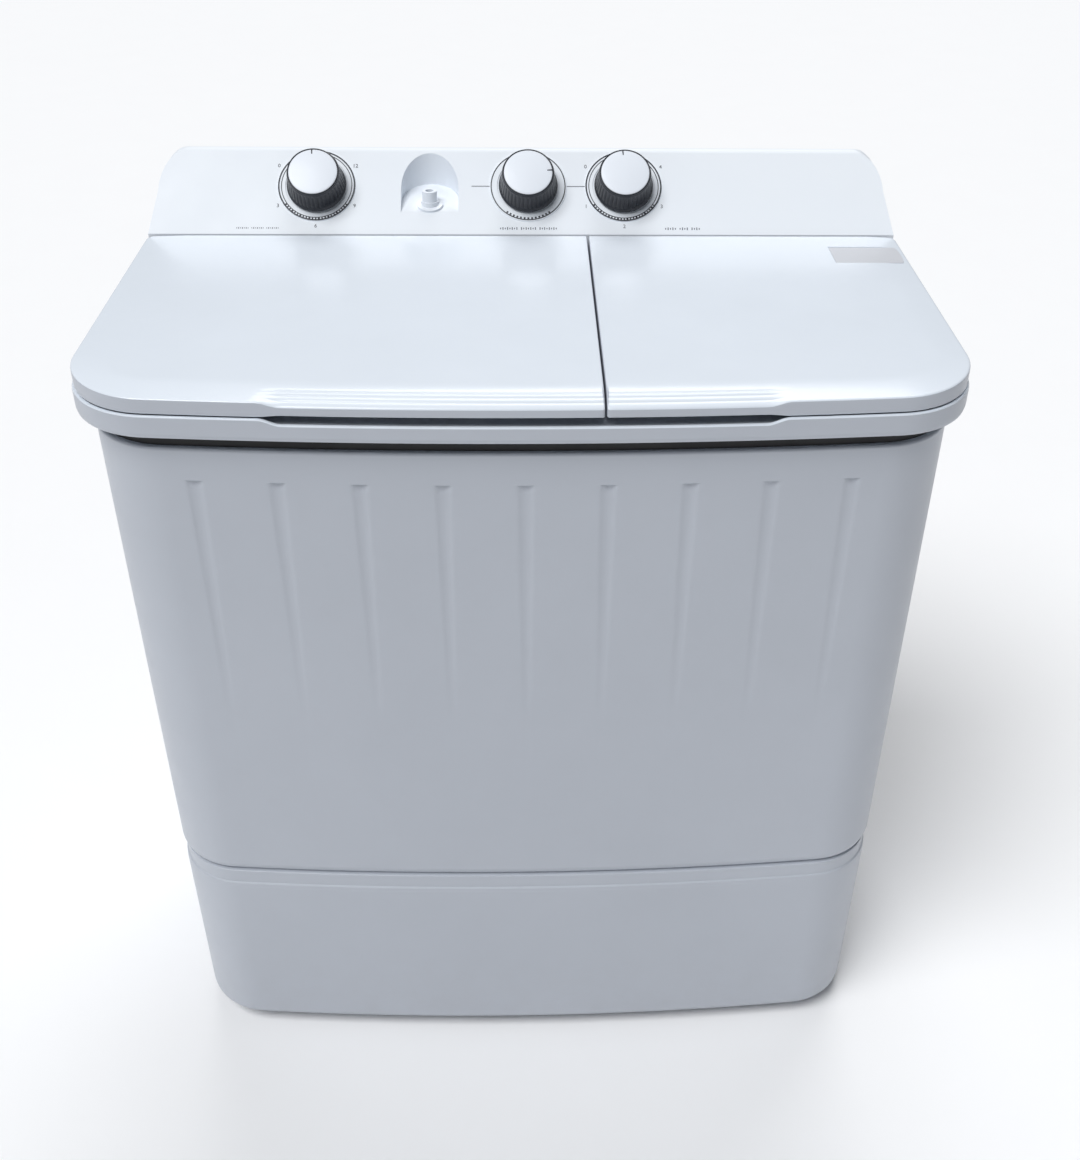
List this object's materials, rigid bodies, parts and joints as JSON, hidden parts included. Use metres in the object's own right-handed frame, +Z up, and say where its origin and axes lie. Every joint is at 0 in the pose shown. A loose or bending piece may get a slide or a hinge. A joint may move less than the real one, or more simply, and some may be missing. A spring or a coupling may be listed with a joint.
{
  "type": "twin tub washer",
  "caption": "Free-standing washing machine with a pulsator wash tub on the left, a spin dryer on the right, hinged lids and a sloped panel with dials.",
  "frame": {"origin": "middle of the footprint, on the floor under the feet", "axes": "+Z up, +X to the right seen from the front, the front with the finger grip faces -Y"},
  "size_m": [0.808, 0.486, 0.9168],
  "materials": {
    "body_plastic": "satin moulded",
    "foot_rubber": "matt",
    "panel_plastic": "satin moulded",
    "cover_plastic": "fine texture",
    "zinc_steel": "zinc plated",
    "tub_plastic": "smooth moulded",
    "filter_plastic": "smooth moulded",
    "filter_blue": "smooth moulded",
    "cast_metal": "as cast",
    "black_rubber": "matt",
    "motor_steel": "satin",
    "bright_steel": "ground",
    "hose_plastic": "ribbed",
    "timer_plastic": "moulded",
    "dark_plastic": "satin moulded",
    "lid_plastic": "gloss moulded",
    "plate_grey": "satin film",
    "inner_lid_plastic": "gloss moulded",
    "cap_plastic": "gloss moulded",
    "pulsator_plastic": "gloss moulded",
    "basket_plastic": "smooth moulded",
    "valve_red": "matt"
  },
  "bodies": {
    "machine": {"base": "body_plastic", "feet": "foot_rubber", "cabinet": "body_plastic", "top_deck": "body_plastic", "control_panel": "panel_plastic", "panel_rear_cover": "cover_plastic", "rear_service_cover": "cover_plastic", "service_screws": "zinc_steel", "wash_tub": "tub_plastic", "spin_outer_tub": "tub_plastic", "overflow_cover": "filter_plastic", "lint_filter": "filter_blue", "inlet_nozzle": "panel_plastic", "inlet_channel": "tub_plastic", "wash_bearing_housing": "cast_metal", "wash_shaft_seal": "black_rubber", "wash_motor": "motor_steel", "wash_motor_bracket": "motor_steel", "drive_belt": "black_rubber", "spin_motor": "motor_steel", "spin_motor_stand": "motor_steel", "spin_motor_springs": "bright_steel", "spin_motor_pads": "black_rubber", "spin_bellows": "black_rubber", "brake_plate": "motor_steel", "brake_cable": "black_rubber", "drain_valve_box": "tub_plastic", "drain_hose": "hose_plastic", "spin_drain_hose": "hose_plastic", "drain_outlet": "hose_plastic", "drain_pull_cable": "black_rubber", "wash_timer": "timer_plastic", "selector_switch": "dark_plastic", "spin_timer": "timer_plastic", "dial_rings": "panel_plastic", "motor_capacitors": "timer_plastic", "wiring_loom": "black_rubber", "cord_gland": "black_rubber", "lid_hinge_pins": "bright_steel"},
    "wash_lid_body": {"wash_lid": "lid_plastic"},
    "spin_lid_body": {"spin_lid": "lid_plastic", "spin_lid_plate": "plate_grey"},
    "inner_lid_body": {"spin_inner_lid": "inner_lid_plastic"},
    "wash_timer_dial": {"wash_timer_knob": "dark_plastic", "wash_timer_cap": "cap_plastic"},
    "selector_dial": {"selector_knob": "dark_plastic", "selector_cap": "cap_plastic"},
    "spin_timer_dial": {"spin_timer_knob": "dark_plastic", "spin_timer_cap": "cap_plastic"},
    "pulsator_drive": {"pulsator": "pulsator_plastic", "pulsator_screw": "bright_steel", "wash_shaft": "bright_steel", "wash_pulley": "dark_plastic"},
    "wash_rotor": {"wash_motor_shaft": "bright_steel", "wash_motor_pulley": "cast_metal"},
    "spin_rotor": {"spin_basket": "basket_plastic", "spin_shaft": "bright_steel", "brake_drum": "cast_metal"},
    "brake_arm": {"brake_lever": "motor_steel"},
    "valve_body": {"valve_plunger": "valve_red"}
  },
  "joints": [
    {"name": "wash_lid_hinge", "type": "hinge", "parent": "machine", "child": "wash_lid_body", "pos_m": [-0.166, 0.136, 0.83], "axis": [-1, 0, 0], "range_deg": [0, 95]},
    {"name": "spin_lid_hinge", "type": "hinge", "parent": "machine", "child": "spin_lid_body", "pos_m": [0.229, 0.136, 0.83], "axis": [-1, 0, 0], "range_deg": [0, 95]},
    {"name": "inner_lid_hinge", "type": "hinge", "parent": "machine", "child": "inner_lid_body", "pos_m": [0.226, 0.105, 0.818], "axis": [-1, 0, 0], "range_deg": [0, 95]},
    {"name": "wash_timer_turn", "type": "hinge", "parent": "machine", "child": "wash_timer_dial", "pos_m": [-0.224, 0.19596, 0.87658], "axis": [0, 0.6769, -0.7361], "range_deg": [0, 300]},
    {"name": "selector_turn", "type": "hinge", "parent": "machine", "child": "selector_dial", "pos_m": [0.0047, 0.19596, 0.87658], "axis": [0, -0.6769, 0.7361], "range_deg": [0, 180]},
    {"name": "spin_timer_turn", "type": "hinge", "parent": "machine", "child": "spin_timer_dial", "pos_m": [0.1086, 0.19596, 0.87658], "axis": [0, 0.6769, -0.7361], "range_deg": [0, 300]},
    {"name": "pulsator_spin", "type": "hinge", "parent": "machine", "child": "pulsator_drive", "pos_m": [-0.156, -0.026, 0.404], "axis": [0, 0, 1], "continuous": true},
    {"name": "wash_motor_spin", "type": "hinge", "parent": "machine", "child": "wash_rotor", "pos_m": [-0.3, -0.06, 0.315], "axis": [0, 0, 1], "continuous": true},
    {"name": "basket_spin", "type": "hinge", "parent": "machine", "child": "spin_rotor", "pos_m": [0.226, -0.034, 0.462], "axis": [0, 0, 1], "continuous": true},
    {"name": "brake_lever_turn", "type": "hinge", "parent": "machine", "child": "brake_arm", "pos_m": [0.292, -0.064, 0.378], "axis": [0, 0, 1], "range_deg": [0, 3]},
    {"name": "drain_valve_lift", "type": "slide", "parent": "machine", "child": "valve_body", "axis": [0, 0, 1], "range_m": [0, 0.012]}
  ],
  "couplings": [
    {"joint": "inner_lid_hinge", "follows": "spin_lid_hinge", "ratio": 1},
    {"joint": "brake_lever_turn", "follows": "spin_lid_hinge", "ratio": 0.0315},
    {"joint": "wash_motor_spin", "follows": "pulsator_spin", "ratio": 4.7403},
    {"joint": "drain_valve_lift", "follows": "selector_turn", "m_per_rad": 0.0038}
  ]
}
